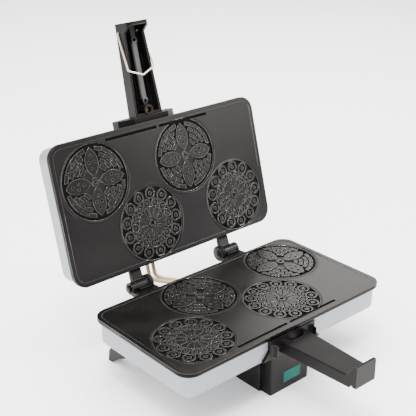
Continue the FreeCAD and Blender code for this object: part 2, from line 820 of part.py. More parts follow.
def front_cover():
    # The moulded front: a hollow lower box with the lens window, two wings that flank the
    # handle, and a flange that fills the casing's notch.
    body = new_body("front_cover")
    half = d.cover_width / 2
    ledge = -d.ledge_drop
    box = sketch_on(body, "CoverBox", "XY_Plane", ledge)
    rectangle(box, -half, cover_front, half, housing_front)
    pad(body, box, d.plate_height + ledge, back=True)
    front_y = float(cover_front)

    def front_corner(edge):
        return upright(edge) and abs(edge.BoundBox.YMin - front_y) < 1e-3

    dress(body, "Fillet", "Radius", d.cover_wall / 2, front_corner)
    room = sketch_on(body, "CoverRoom", "XZ_Plane", -housing_front)
    roof = casing_floor - d.cover_wall
    rectangle(room, d.cover_wall - half, sole + d.cover_wall, half - d.cover_wall, roof)
    pocket(body, room, d.cover_reach - d.cover_wall, back=True)
    seat = sketch_on(body, "CoverSeat", "YZ_Plane")
    rectangle(seat, casing_front, casing_floor, housing_front + d.cover_wall, ledge + d.cover_wall)
    pocket(body, seat, d.plate_length, both=True)
    flange = sketch_on(body, "CoverFlange", "XZ_Plane", -casing_front)
    flange_half = d.flange_width / 2
    flange_low = d.seat_gap - d.plate_thickness - d.notch_depth
    flare_x = flange_half + d.flange_flare
    flare_z = flange_low + d.flange_flare_drop
    outline(flange, [
        (-flare_x, flange_low), (flare_x, flange_low), (flange_half, flare_z),
        (flange_half, -d.flange_drop), (-flange_half, -d.flange_drop), (-flange_half, flare_z),
    ])
    pad(body, flange, d.flange_thickness)
    for hand in (-1, 1):
        tag = "CoverWing%s" % ("L" if hand < 0 else "R")
        wing = sketch_on(body, tag, "XY_Plane", -d.wing_drop)
        outer_x = hand * half
        inner_x = hand * (half - d.wing_thickness)
        outline(wing, [
            (outer_x, cover_front + d.cover_wall / 2),
            (outer_x, casing_front),
            (inner_x, casing_front),
            (inner_x, cover_front),
            (hand * (half - d.cover_wall / 2), cover_front),
        ])
        pad(body, wing, d.ledge_drop - d.wing_drop, back=True)
        sweep = sketch_on(body, tag + "Sweep", "XY_Plane", -d.wing_drop)
        root_y = casing_front - d.flange_thickness
        spare = flange_half - half
        outline(sweep, [
            (outer_x, root_y),
            (outer_x + hand * spare, root_y),
            (outer_x + hand * spare / 2, root_y - d.flange_sweep / 6),
            (outer_x + hand * spare / 6, root_y - d.flange_sweep / 2),
            (outer_x, root_y - d.flange_sweep),
        ])
        pad(body, sweep, d.ledge_drop - d.wing_drop, back=True)
    rear = sketch_on(body, "CoverRearFlange", "XZ_Plane", -housing_front)
    rear_half = d.housing_width / 2 + d.back_flange_lip
    inner_half = half - d.cover_wall
    rectangle(rear, -rear_half, sole + d.back_flange_rise, rear_half, casing_floor)
    rectangle(rear, -inner_half, sole + d.back_flange_rise + d.cover_wall, inner_half, roof)
    pad(body, rear, d.back_flange_thickness)
    window = sketch_on(body, "CoverWindow", "XZ_Plane", -cover_front)
    lens_box(window, d.seat_gap)
    pocket(body, window, 3 * d.cover_wall, both=True)
    return body


def lens_box(sketch, room):
    half_x = d.lens_width / 2 + room
    half_z = d.lens_height / 2 + room
    low, high = -d.lens_drop - half_z, half_z - d.lens_drop
    rectangle(sketch, d.lens_shift - half_x, low, d.lens_shift + half_x, high)


def indicator_lens():
    body = new_body("indicator_lens")
    face = sketch_on(body, "LensFace", "XZ_Plane", d.lens_bezel - cover_front)
    lens_box(face, 0)
    pad(body, face, d.lens_depth, back=True)
    front = -float(cover_front) + float(d.lens_bezel)

    def front_edge(edge):
        box = edge.BoundBox
        return box.YLength < 1e-4 and abs(box.YMin + front) < 1e-3

    dress(body, "Fillet", "Radius", d.lens_bezel, front_edge)
    return body


def indicator_lamp():
    # A small glow lamp on its holder, standing on the housing's floor behind the lens.
    glass_y = cover_front + d.lens_depth
    place = (d.lens_shift, glass_y, -d.lens_drop, along_y)
    glass = cylinder("LampGlass", d.lamp_radius, d.lamp_length, *place)
    holder = doc.addObject("Part::Box", "LampHolder")
    post = d.lamp_length / 3
    floor = sole + d.housing_wall
    bind(holder, "Length", 4 * d.lamp_radius)
    bind(holder, "Width", post)
    bind(holder, "Height", d.plate_height - d.lens_drop - d.housing_wall)
    holder.setExpression("Placement.Base.x", (d.lens_shift - 2 * d.lamp_radius).text)
    holder.setExpression("Placement.Base.y", (glass_y + d.lamp_length - post).text)
    holder.setExpression("Placement.Base.z", floor.text)
    lamp = doc.addObject("Part::Fuse", "indicator_lamp")
    lamp.Label = "indicator_lamp"
    lamp.Base = holder
    lamp.Tool = glass
    return lamp


def handle(label, base_y, tip_y, rim, depth, lip_end, lip_side):
    # A tapered channel: smooth on top, open underneath, with a middle rib and an end lip.
    # The lip stands up from the smooth side on the lower handle and down from the rim on the upper.
    body = new_body(label)
    top = rim + depth
    lip_start = tip_y + d.lip_thickness + d.lip_run
    side_view = sketch_on(body, label + "Side", "YZ_Plane")
    if lip_side > 0:
        points = [
            (base_y, rim), (base_y, top), (lip_start, top),
            (tip_y + d.lip_thickness, lip_end), (tip_y, lip_end), (tip_y, rim + d.lip_thickness / 2),
            (tip_y + d.lip_thickness, rim + d.lip_thickness / 2),
            (tip_y + d.lip_thickness + d.lip_notch, rim + d.lip_thickness),
            (tip_y + d.lip_thickness + 2 * d.lip_notch, rim),
        ]
    else:
        points = [
            (base_y, rim), (base_y, top), (tip_y, top), (tip_y, lip_end),
            (tip_y + d.lip_thickness, lip_end), (lip_start, rim),
        ]
    outline(side_view, points)
    pad(body, side_view, 2 * d.handle_base_half, both=True)
    slope = (d.handle_base_half - d.handle_tip_half) / (base_y - tip_y)
    for hand in (-1, 1):
        trim = sketch_on(body, label + "Trim" + ("L" if hand < 0 else "R"), "XY_Plane", top)
        outer = hand * (d.handle_base_half + d.handle_wall)
        outline(trim, [
            (hand * d.handle_base_half, base_y),
            (outer, base_y),
            (outer, tip_y - d.lip_thickness),
            (hand * (d.handle_tip_half - slope * d.lip_thickness), tip_y - d.lip_thickness),
        ])
        pocket(body, trim, 4 * depth, both=True)
    back_z = float(top)
    long_run = 0.5 * float(base_y - tip_y)

    def back_edge(edge):
        box = edge.BoundBox
        return box.ZLength < 1e-3 and abs(box.ZMin - back_z) < 1e-3 and edge.Length > long_run

    dress(body, "Fillet", "Radius", d.handle_round, back_edge)
    channel = sketch_on(body, label + "Channel", "XY_Plane", rim)
    near = base_y - d.handle_wall
    far = tip_y + d.lip_thickness
    near_half = d.handle_base_half - d.handle_wall - slope * d.handle_wall
    far_half = d.handle_tip_half - d.handle_wall + slope * d.lip_thickness
    outline(channel, [(-near_half, near), (-far_half, far), (far_half, far), (near_half, near)])
    pocket(body, channel, 2 * (depth - d.handle_web), both=True)
    rib = sketch_on(body, label + "Rib", "XY_Plane", rim + d.handle_rib_drop)
    rectangle(rib, -d.handle_rib / 2, far, d.handle_rib / 2, near)
    pad(body, rib, depth - d.handle_web - d.handle_rib_drop)
    return body


def lower_handle():
    base_y = casing_front - d.flange_thickness
    tip_y = base_y - d.lower_handle_length - d.lip_run - d.lip_thickness
    rim = -(d.lower_handle_top + d.lower_handle_depth)
    body = handle("lower_handle", base_y, tip_y, rim, d.lower_handle_depth, d.lower_lip_top, 1)
    scoop = sketch_on(body, "lower_handleScoop", "XY_Plane", -d.lower_handle_top)
    circle(scoop, 0, base_y - d.scoop_reach + d.scoop_radius, d.scoop_radius)
    pocket(body, scoop, d.scoop_depth)
    return body


def upper_mount():
    # The swept foot that carries the upper handle on the lid casing's front.
    body = new_body("upper_handle_mount")
    face = sketch_on(body, "MountFace", "XZ_Plane", -casing_front)
    wide = d.upper_mount_wide / 2
    narrow = d.upper_mount_narrow / 2
    low = d.plate_gap + d.upper_mount_low
    high = d.plate_gap + d.upper_mount_high
    step = (d.upper_mount_high - d.upper_mount_low) / 2
    outline(face, [
        (-narrow, low), (narrow, low), (wide, low + step), (wide, high), (-wide, high), (-wide, low + step),
    ])
    pad(body, face, d.upper_mount_reach)
    return body


def upper_handle():
    base_y = casing_front - d.upper_mount_reach
    tip_y = base_y - d.upper_handle_length - d.lip_run - d.lip_thickness
    rim = d.upper_handle_rim
    body = handle("upper_handle", base_y, tip_y, rim, d.upper_handle_depth, d.upper_lip_end, -1)
    post_end = rim + d.handle_rib_drop - d.screw_post_rise
    posts = sketch_on(body, "upper_handlePosts", "XY_Plane", post_end)
    sockets = sketch_on(body, "upper_handleSockets", "XY_Plane", post_end)
    for y in (base_y - d.screw_post_inset, tip_y + d.lip_thickness + d.screw_post_inset):
        circle(posts, 0, y, d.screw_post_radius)
        circle(sockets, 0, y, d.screw_post_bore)
    pad(body, posts, d.upper_handle_depth - d.handle_web - d.handle_rib_drop + d.screw_post_rise)
    pocket(body, sockets, d.screw_post_depth, back=True)
    boss_y = base_y - d.seat_gap - d.root_boss_radius
    boss = sketch_on(body, "upper_handleBoss", "XY_Plane", rim - d.root_boss_rise)
    circle(boss, 0, boss_y, d.root_boss_radius)
    pad(body, boss, d.root_boss_rise + d.upper_handle_depth - d.handle_web)
    bore = sketch_on(body, "upper_handleBossBore", "XY_Plane", rim - d.root_boss_rise)
    circle(bore, 0, boss_y, d.root_boss_bore)
    pocket(body, bore, d.root_boss_depth, back=True)
    lip_z = float(d.upper_lip_end)

    def lip_corner(edge):
        box = edge.BoundBox
        return abs(box.ZMax - lip_z) < 1e-3 and box.YLength > 1 and box.XLength < 1

    dress(body, "Fillet", "Radius", d.lip_round, lip_corner)
    pivots = sketch_on(body, "upper_handlePivots", "YZ_Plane")
    circle(pivots, bail_pivot_y, bail_pivot_z, d.wire_radius + d.wire_clearance)
    pocket(body, pivots, 4 * d.handle_base_half, both=True)
    return body


bail_pivot_y = casing_front - d.upper_mount_reach - d.upper_handle_length - d.bail_pivot_back
bail_pivot_z = d.upper_handle_rim + d.bail_pivot_rise


def upper_half_at(y):
    base_y = float(casing_front - d.upper_mount_reach)
    run = float(d.upper_handle_length + d.lip_run + d.lip_thickness)
    share = (base_y - y) / run
    return float(d.handle_base_half) + share * float(d.handle_tip_half - d.handle_base_half)


def latch_bail():
    # One bent wire: two turned-in pivots, two legs outside the handle and a shallow V across it.
    wire = float(d.wire_radius)
    pivot_y, pivot_z = float(bail_pivot_y), float(bail_pivot_z)
    leg = float(d.bail_leg)
    rest_z = float(d.upper_handle_rim) - wire - float(d.bail_gap)
    lean = math.asin((pivot_z - rest_z) / leg)
    clear = wire + float(d.bail_side_gap)
    corner_y = pivot_y + leg * math.cos(lean)
    apex_y = corner_y + float(d.bail_apex) * math.cos(lean)
    apex_z = rest_z - float(d.bail_apex) * math.sin(lean)
    top_x = upper_half_at(pivot_y) + clear
    corner_x = upper_half_at(corner_y) + clear
    inner_x = upper_half_at(pivot_y) - float(d.handle_wall) - 2 * wire
    points = [
        V(-inner_x, pivot_y, pivot_z), V(-top_x, pivot_y, pivot_z), V(-corner_x, corner_y, rest_z),
        V(0, apex_y, apex_z),
        V(corner_x, corner_y, rest_z), V(top_x, pivot_y, pivot_z), V(inner_x, pivot_y, pivot_z),
    ]
    bend = float(d.bail_bend)
    tight = float(d.bail_pivot_bend)
    return tube("latch_bail", rounded_path(points, [tight, bend, bend, bend, tight]), wire)


def rear_leg(hand):
    # A swept moulded leg under the casing's back, so that the open lid can't tip the baker.
    label = ("left" if hand < 0 else "right") + "_rear_leg"
    body = new_body(label)
    middle = hand * (half_length - d.leg_inset_x)
    side_view = sketch_on(body, label + "Side", "YZ_Plane", middle)
    heel_y = casing_back + d.leg_reach + d.leg_sole / 2
    toe_y = heel_y - d.leg_sole
    root_y = casing_back - d.casing_edge
    outline(side_view, [
        (root_y - d.leg_root, casing_floor),
        (root_y, casing_floor),
        (heel_y - d.leg_sole / 4, sole + 2 * d.leg_sole),
        (heel_y, sole),
        (toe_y, sole),
        (toe_y - d.leg_sole, sole + d.leg_sole),
        (root_y - d.leg_sole, sole + d.leg_arch),
    ])
    pad(body, side_view, d.leg_width, both=True)
    return body


def thermostat():
    body = new_body("thermostat")
    disc = sketch_on(body, "ThermostatDisc", "XY_Plane", -d.plate_thickness)
    circle(disc, 0, 0, d.thermostat_radius)
    pad(body, disc, d.thermostat_height, back=True)
    rim = -d.plate_thickness - d.thermostat_height
    dress(body, "Chamfer", "Size", d.thermostat_height / 5, level_at(rim))
    return body


def grommet(label, side, face):
    # Heat-proof bushes where the leads pass the casings' back walls.
    z = face + side * (d.plate_thickness + d.lead_drop)
    items = []
    start = casing_back - d.grommet_depth / 2 - d.casing_wall / 2
    for number, x in enumerate(lead_places[side]):
        place = (x, start, z, along_y)
        ring = cylinder("%sRing%d" % (label, number), d.grommet_radius, d.grommet_depth, *place)
        hole = cylinder("%sHole%d" % (label, number), d.lead_radius, d.grommet_depth, *place)
        bush = doc.addObject("Part::Cut", "%sBush%d" % (label, number))
        bush.Base = ring
        bush.Tool = hole
        items.append(bush)
    return group(label, items)


def cord_bushing():
    z = -(d.plate_thickness + d.bushing_drop)
    start = casing_back - d.bushing_length / 2
    ring = cylinder("BushingRing", d.bushing_radius, d.bushing_length, d.bushing_shift, start, z, along_y)
    hole = cylinder("BushingHole", d.bushing_bore, d.bushing_length, d.bushing_shift, start, z, along_y)
    bush = doc.addObject("Part::Cut", "cord_bushing")
    bush.Label = "cord_bushing"
    bush.Base = ring
    bush.Tool = hole
    return bush


def jumper_lead(label, lower_x, upper_x):
    # A sleeved lead from the base to the open lid, bowed behind the hinge.
    inside = 0.5 * (float(d.grommet_depth) - float(d.casing_wall))
    wall = float(casing_back) - inside
    drop = float(d.plate_thickness + d.lead_drop)
    start = V(lower_x, wall, -drop)
    start_out = start + V(0, float(d.lead_lower_run), 0)
    closed_end = V(upper_x, wall, float(d.plate_gap) + drop)
    end = lid_turn.multVec(closed_end)
    end_out = lid_turn.multVec(closed_end + V(0, float(d.lead_upper_run), 0))
    bow = end_out - V(0, float(d.lead_bow_in), float(d.lead_bow_drop))
    points = [start, start_out, bow, end_out, end]
    radii = lead_radii(points)
    print(label, "bend radii", [round(item, 1) for item in radii])
    print(label, "route", [tuple(round(value, 2) for value in base_place.multVec(item)) for item in points])
    return tube(label, rounded_path(points, radii), float(d.lead_radius))


def lead_radii(points):
    radii = []
    for i in range(1, len(points) - 1):
        before = points[i - 1] - points[i]
        after = points[i + 1] - points[i]
        half_turn = (math.pi - before.getAngle(after)) / 2
        shorter = min(before.Length, after.Length)
        radii.append(float(d.lead_bend_share) * shorter / math.tan(half_turn))
    return radii


base_face = Size.of(0)
lid_face = d.plate_gap + 0

keep(grid_plate("lower_grid_plate", -1, base_face), base_place)
keep(casing("lower_casing", -1, base_face), base_place)
keep(reflector("lower_heat_shield", -1, base_face), base_place)
keep(heating_element("lower_heating_element", -1, base_face), base_place)
keep(thermostat(), base_place)
for piece in fastening("lower", -1, base_face):
    keep(piece, base_place)
keep(control_housing(), base_place)
keep(front_cover(), base_place)
keep(indicator_lens(), base_place)
keep(indicator_lamp(), base_place)
keep(lower_handle(), base_place)
retainers = []
for hand in (-1, 1):
    keep(rear_leg(hand), base_place)
    pin, clip = hinge_pins(hand)
    keep(pin, base_place)
    retainers.append(clip)
keep(group("pin_retainers", retainers), base_place)
keep(grommet("lower_lead_grommets", -1, base_face), base_place)
keep(cord_bushing(), base_place)

keep(grid_plate("upper_grid_plate", 1, lid_face), lid_place)
keep(casing("upper_casing", 1, lid_face), lid_place)
keep(reflector("upper_heat_shield", 1, lid_face), lid_place)
keep(heating_element("upper_heating_element", 1, lid_face), lid_place)
for piece in fastening("upper", 1, lid_face):
    keep(piece, lid_place)
keep(upper_mount(), lid_place)
keep(upper_handle(), lid_place)
keep(latch_bail(), lid_place)
keep(grommet("upper_lead_grommets", 1, lid_face), lid_place)
for number, name in enumerate(("left_jumper_lead", "right_jumper_lead")):
    lower_x, upper_x = float(lead_places[-1][number]), float(lead_places[1][number])
    keep(jumper_lead(name, lower_x, upper_x), base_place)

doc.recompute()
faults = [item.Name for item in doc.Objects if "Invalid" in item.State or "Error" in item.State]
for piece in pieces:
    if piece.Shape.isNull() or not piece.Shape.isValid():
        faults.append(piece.Label)
if faults:
    raise RuntimeError("failed: " + ", ".join(faults))

os.makedirs("parts", exist_ok=True)
for piece in pieces:
    piece.Shape.exportStep("parts/%s.step" % piece.Label)
    print("%-24s solids %d  volume %.1f" % (piece.Label, len(piece.Shape.Solids), piece.Shape.Volume))
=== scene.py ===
import bpy
import json
import math
from mathutils import Matrix, Vector


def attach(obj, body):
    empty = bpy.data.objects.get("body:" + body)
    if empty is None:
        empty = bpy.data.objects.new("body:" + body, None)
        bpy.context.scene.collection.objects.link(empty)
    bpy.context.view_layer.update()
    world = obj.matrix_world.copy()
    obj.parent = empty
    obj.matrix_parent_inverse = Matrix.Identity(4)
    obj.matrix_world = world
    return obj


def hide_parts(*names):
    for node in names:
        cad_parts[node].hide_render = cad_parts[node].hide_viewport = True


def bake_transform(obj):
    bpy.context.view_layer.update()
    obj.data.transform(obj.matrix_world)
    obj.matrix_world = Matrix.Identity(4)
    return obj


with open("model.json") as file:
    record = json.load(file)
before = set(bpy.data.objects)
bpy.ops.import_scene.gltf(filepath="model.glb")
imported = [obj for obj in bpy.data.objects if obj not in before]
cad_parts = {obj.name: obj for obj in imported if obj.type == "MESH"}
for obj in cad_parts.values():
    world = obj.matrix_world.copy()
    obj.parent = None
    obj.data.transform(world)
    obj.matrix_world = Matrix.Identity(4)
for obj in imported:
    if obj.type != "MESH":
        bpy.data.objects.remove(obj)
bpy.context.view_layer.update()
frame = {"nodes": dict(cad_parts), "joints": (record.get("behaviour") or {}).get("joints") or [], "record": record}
bpy.ops.object.select_all(action="DESELECT")
print("frame loaded,", len(frame["nodes"]), "nodes")

# the lid stands open at rest, and its range ends where it is closed
lidHinge = next(joint for joint in frame["joints"] if joint["name"] == "lid_hinge")
hingePlace = tuple(lidHinge["pos_m"])
openAngle = math.radians(lidHinge["range_deg"][1])

# camera at the photo's place, with the way its right, up and back point
shot = {
    "place": (-0.5444, -0.5393, 0.5072),
    "right": (0.7505, -0.6609, 0.0),
    "up": (0.2646, 0.3005, 0.9164),
    "back": (-0.6056, -0.6877, 0.4004),
    "lens": 79.32,
    "sensor": 36.0,
}
camData = bpy.data.cameras.new("shotCamera")
camData.lens = shot["lens"]
camData.sensor_width = shot["sensor"]
camera = bpy.data.objects.new("shotCamera", camData)
bpy.context.scene.collection.objects.link(camera)
turn = Matrix((shot["right"], shot["up"], shot["back"])).transposed()
camera.matrix_world = Matrix.Translation(shot["place"]) @ turn.to_4x4()
bpy.context.scene.camera = camera
print("camera set")


# one value on a wire, so shader maths reads as plain sums
class Wire:
    def __init__(self, bench, socket):
        self.bench = bench
        self.socket = socket

    def __add__(self, other):
        return self.bench.sum("ADD", self, other)

    def __radd__(self, other):
        return self.bench.sum("ADD", other, self)

    def __sub__(self, other):
        return self.bench.sum("SUBTRACT", self, other)

    def __rsub__(self, other):
        return self.bench.sum("SUBTRACT", other, self)

    def __mul__(self, other):
        return self.bench.sum("MULTIPLY", self, other)

    def __rmul__(self, other):
        return self.bench.sum("MULTIPLY", other, self)

    def __truediv__(self, other):
        return self.bench.sum("DIVIDE", self, other)

    def __rtruediv__(self, other):
        return self.bench.sum("DIVIDE", other, self)

    def __abs__(self):
        return self.bench.sum("ABSOLUTE", self)


# a worn edge, also used for painted edge highlights, is where a rounded normal and the real one part, by their dot
# product
wearLook = {"samples": 4, "clean": 0.97, "worn": 0.80}


# the bench a finish is mixed on: one material and its nodes
class Bench:
    def __init__(self, name):
        self.mat = bpy.data.materials.new(name)
        self.mat.use_nodes = True
        self.tree = self.mat.node_tree
        self.tree.nodes.clear()
        out = self.tree.nodes.new("ShaderNodeOutputMaterial")
        self.skin = self.tree.nodes.new("ShaderNodeBsdfPrincipled")
        self.tree.links.new(self.skin.outputs[0], out.inputs["Surface"])
        coords = self.tree.nodes.new("ShaderNodeTexCoord")
        self.place = Wire(self, coords.outputs["Object"])

    def plug(self, target, value):
        if isinstance(value, Wire):
            self.tree.links.new(value.socket, target)
        else:
            target.default_value = value

    # settings go in first, then values or wires by socket name or number
    def node(self, kind, settings=None, sockets=None, out=0):
        made = self.tree.nodes.new(kind)
        for key, value in (settings or {}).items():
            setattr(made, key, value)
        for key, value in (sockets or {}).items():
            self.plug(made.inputs[key], value)
        return Wire(self, made.outputs[out])

    def sum(self, operation, *parts):
        return self.node("ShaderNodeMath", {"operation": operation}, dict(enumerate(parts)))

    def larger(self, one, two):
        return self.sum("MAXIMUM", one, two)

    # a plain value, then each wire by its weight
    def weigh(self, weights, *wires):
        total = weights[0]
        for weight, wire in zip(weights[1:], wires):
            total = total + wire * weight
        return total

    def vector(self, operation, one, two, out="Vector"):
        return self.node("ShaderNodeVectorMath", {"operation": operation}, {0: one, 1: two}, out)

    def parts(self, vector):
        split = self.tree.nodes.new("ShaderNodeSeparateXYZ")
        self.plug(split.inputs[0], vector)
        return [Wire(self, split.outputs[i]) for i in range(3)]

    def ease(self, value, low, high, start=0.0, end=1.0):
        return self.node("ShaderNodeMapRange", {"interpolation_type": "SMOOTHSTEP"}, {
            "Value": value, "From Min": low, "From Max": high, "To Min": start, "To Max": end})

    # one up to the limit, then down to nothing over the soft stretch
    def fade(self, value, limit, soft):
        return self.ease(value, limit, limit + soft, 1.0, 0.0)

    def grain(self, scale, detail, where=None):
        return self.node("ShaderNodeTexNoise", {}, {
            "Vector": where or self.place, "Scale": scale, "Detail": detail})

    def tint(self, factor, dark, light):
        return self.node("ShaderNodeMix", {"data_type": "RGBA"}, {
            "Factor": factor, 6: dark, 7: light}, out=2)

    def bump(self, height, strength, distance, normal=None):
        sockets = {"Height": height, "Strength": strength, "Distance": distance}
        if normal is not None:
            sockets["Normal"] = normal
        return self.node("ShaderNodeBump", {}, sockets)

    def bevel(self, samples, radius):
        return self.node("ShaderNodeBevel", {"samples": samples}, {"Radius": radius})

    def wornAndHighlitEdges(self, width):
        soft = self.bevel(wearLook["samples"], width)
        real = self.node("ShaderNodeNewGeometry", out="Normal")
        dot = self.vector("DOT_PRODUCT", soft, real, "Value")
        return self.ease(dot, wearLook["clean"], wearLook["worn"])

    def coat(self, **values):
        for key, value in values.items():
            self.plug(self.skin.inputs[key.replace("_", " ")], value)


def shade(r, g, b):
    return (r, g, b, 1.0)


# cast plates: dark non-stick coat, with painted shade making the cookie cuts and outer walls blacker, and worn
# edges paler as wear and as painted highlight (metres)
plateLook = {
    "dark": shade(0.0026, 0.0024, 0.0023),
    "light": shade(0.0054, 0.0049, 0.0046),
    # painted shade: the colour put in the cookie cuts
    "grooveShade": shade(0.0010, 0.0010, 0.0010),
    # worn edges, paler as wear and as painted highlight
    "edge": shade(0.420, 0.408, 0.392),
    "middle": (0.0, 0.0287, 0.0685),
    "halfStep": 0.0564,  # half the way from cookie to cookie
    "rows": (-0.0265, 0.0307),  # y of the front and back row
    "rowEnd": (-0.0760, -0.0740),  # past it a row has no cookie
    "halo": 0.0394,  # radius of the faint ring
    "haloEdge": (0.0003, 0.0007),  # where a mask starts to fade, and over what stretch
    "discEdge": (-0.0012, 0.0008),
    "core": (0.0120, 0.0030),  # round a flower's middle
    "corePale": 0.8,
    "field": 0.0006,  # depth where the cuts begin
    "floor": 0.0018,  # depth of the cuts
    "soft": 0.0003,
    "gap": 0.0006,  # between the closed plates
    "brow": (0.0007, 0.0013),  # depth where the outer walls begin
    "wallShadow": 0.8,
    # worn edges, part wear and part painted highlight: their width, weight, and how bare and metallic
    "worn": 0.0005,
    "wearAndHighlightWeight": (0.15, 0.85),  # everywhere, and more on the discs
    "bareAndHighlit": (0.15, 0.5, 0.5, 0.8),  # worn edges: from and to in the cloud, and how metallic
    # how far the cuts and outer walls are made near-black metal, as painted shade
    "pitShadeMetal": 0.5,
    "wallShadeMetal": 0.7,
    "cast": (1400.0, 2.0),  # a noise's scale and detail
    "cloud": (22.0, 4.0),
    "cloudSpan": (0.35, 0.68),
    "rough": (0.17, 0.10, 0.05, 0.5),  # plain, then by cloud, cast and pit
    "specular": 0.26,
    "samples": 6,
    "round": 0.0008,
    "pebble": (0.08, 0.0003),  # a bump's strength and height
    "raised": (0.7, 0.0006),
}


def plateFrame(b, lid):
    # x, y and z from the plates' middle, for the lid as if it were closed
    place = b.place
    if lid:
        place = b.node("ShaderNodeMapping", {"vector_type": "POINT"}, {
            "Vector": b.vector("SUBTRACT", place, hingePlace),
            "Location": hingePlace,
            "Rotation": (openAngle, 0, 0),
        })
    return b.parts(b.vector("SUBTRACT", place, plateLook["middle"]))


def cookieMasks(b, x, y, row, shift):
    # for one row's two cookies: the faint raised ring, the disc inside it and the disc's core
    p = plateLook
    dx = b.sum("WRAP", x - shift, p["halfStep"], -p["halfStep"])
    dy = y - row
    radius = b.sum("SQRT", dx * dx + dy * dy)
    ring = radius - p["halo"]
    inside = b.ease(x * (1 if shift < 0 else -1), *p["rowEnd"])
    halo = b.fade(abs(ring), *p["haloEdge"]) * inside
    return halo, b.fade(ring, *p["discEdge"]), b.fade(radius, *p["core"])


def plateFinish(name, lid):
    p = plateLook
    b = Bench(name)
    x, y, z = plateFrame(b, lid)
    depth = z - p["gap"] if lid else 0.0 - z
    cut = b.ease(depth, p["field"], p["floor"] - p["soft"])
    within = b.fade(depth, p["floor"] + p["soft"], p["soft"])
    front, back = p["rows"]
    backHalo, backDisc, backCore = cookieMasks(b, x, y, back, -p["halfStep"] / 2)
    frontHalo, frontDisc, frontCore = cookieMasks(b, x, y, front, p["halfStep"] / 2)
    halo = b.larger(backHalo, frontHalo)
    disc = b.larger(backDisc, frontDisc)
    flowerCore = frontCore if lid else backCore
    cast = b.grain(*p["cast"])
    cloud = b.grain(*p["cloud"])
    base = b.tint(b.ease(cloud, *p["cloudSpan"]), p["dark"], p["light"])
    # the cuts round a flower's middle get little of the painted shade, so they stay nearly as pale as the plate
    pit = cut * within * (1.0 - flowerCore * p["corePale"])
    wall = b.ease(depth, *p["brow"]) * (1.0 - disc)
    # worn edges made pale and metallic: part wear, part painted highlight
    edgeWearAndHighlight = b.wornAndHighlitEdges(p["worn"]) * (1.0 - pit) * b.weigh(p["wearAndHighlightWeight"], disc)
    # painted shade: the cuts and the plate's outer walls are darkened
    shadow = b.larger(pit, wall * p["wallShadow"])
    b.coat(Base_Color=b.tint(shadow, b.tint(edgeWearAndHighlight, base, p["edge"]), p["grooveShade"]))
    b.coat(Roughness=b.weigh(p["rough"], cloud, cast, pit), Specular_IOR_Level=p["specular"])
    # the cuts and outer walls are also made a near-black metal, which throws back less than the coat, so they read
    # darker: more painted shade
    shadeMetal = b.larger(pit * p["pitShadeMetal"], wall * p["wallShadeMetal"])
    b.coat(Metallic=b.larger(edgeWearAndHighlight * b.ease(cloud, *p["bareAndHighlit"]), shadeMetal))
    # cast edges are a little round, which gives them their bright lines
    eased = b.bevel(p["samples"], p["round"])
    pebbled = b.bump(cast, *p["pebble"], eased)
    b.coat(Normal=b.bump(halo * (1.0 - cut), *p["raised"], pebbled))
    return b.mat


# satin silver paint with a fine metallic fleck
casingLook = {
    "dark": shade(0.235, 0.258, 0.295),
    "light": shade(0.300, 0.324, 0.365),
    "scuff": shade(0.185, 0.20, 0.225),
    "scuffed": 0.5,
    "worn": 0.0008,
    "fleck": (4200.0, 1.0),
    "fleckSpan": (0.3, 0.7),
    "cloud": (14.0, 3.0),
    "patch": (160.0, 4.0),  # where edges are rubbed
    "patchSpan": (0.48, 0.66),
    "metal": 0.35,
    "rough": (0.34, 0.10, 0.05),  # plain, then by cloud and fleck
    "clear": 0.15,
    "clearRough": 0.25,
    "relief": (0.05, 0.0002),
}


def casingFinish():
    c = casingLook
    b = Bench("satinCasing")
    fleck = b.grain(*c["fleck"])
    cloud = b.grain(*c["cloud"])
    rubbed = b.wornAndHighlitEdges(c["worn"]) * b.ease(b.grain(*c["patch"]), *c["patchSpan"])
    paint = b.tint(b.ease(fleck, *c["fleckSpan"]), c["dark"], c["light"])
    b.coat(Base_Color=b.tint(rubbed * c["scuffed"], paint, c["scuff"]))
    b.coat(Metallic=c["metal"], Roughness=b.weigh(c["rough"], cloud, fleck))
    b.coat(Coat_Weight=c["clear"], Coat_Roughness=c["clearRough"])
    b.coat(Normal=b.bump(fleck, *c["relief"]))
    return b.mat


# the upper handle's middle rib, painted pale as a painted reflection, in the closed lid's frame (metres)
ribSheenLook = {
    "half": 0.0025,
    "height": 0.0165,
    "ends": (-0.1500, -0.0900),
    "soft": 0.0003,
    # the rib's painted reflection
    "pale": shade(0.066, 0.065, 0.066),
}


def ribSheenMask(b):
    r = ribSheenLook
    soft = r["soft"]
    far, near = r["ends"]
    x, y, z = plateFrame(b, True)
    across = b.fade(abs(x), r["half"], soft)
    below = b.fade(z, r["height"], soft)
    along = b.ease(y, far - soft, far) * b.fade(y, near, soft)
    return across * below * along


# dark heat-proof mouldings, satin, with a faint moulded grain, and edges paler as wear and as painted highlight
mouldingLook = {
    "dark": shade(0.0030, 0.0027, 0.0028),
    "light": shade(0.0062, 0.0056, 0.0056),
    # worn edges, paler as wear and as painted highlight: their colour, width and weight
    "edge": shade(0.110, 0.102, 0.100),
    "worn": 0.0005,
    "wearAndHighlightWeight": 0.7,
    "grit": (1500.0, 2.0),
    "cloud": (35.0, 4.0),
    "cloudSpan": (0.3, 0.7),
    "satin": (0.34, 0.12, 0.05),  # roughness: plain, then by cloud and grit
    "polished": (0.22, 0.12, 0.05),
    "specular": 0.15,
    "relief": (0.08, 0.0003),
}


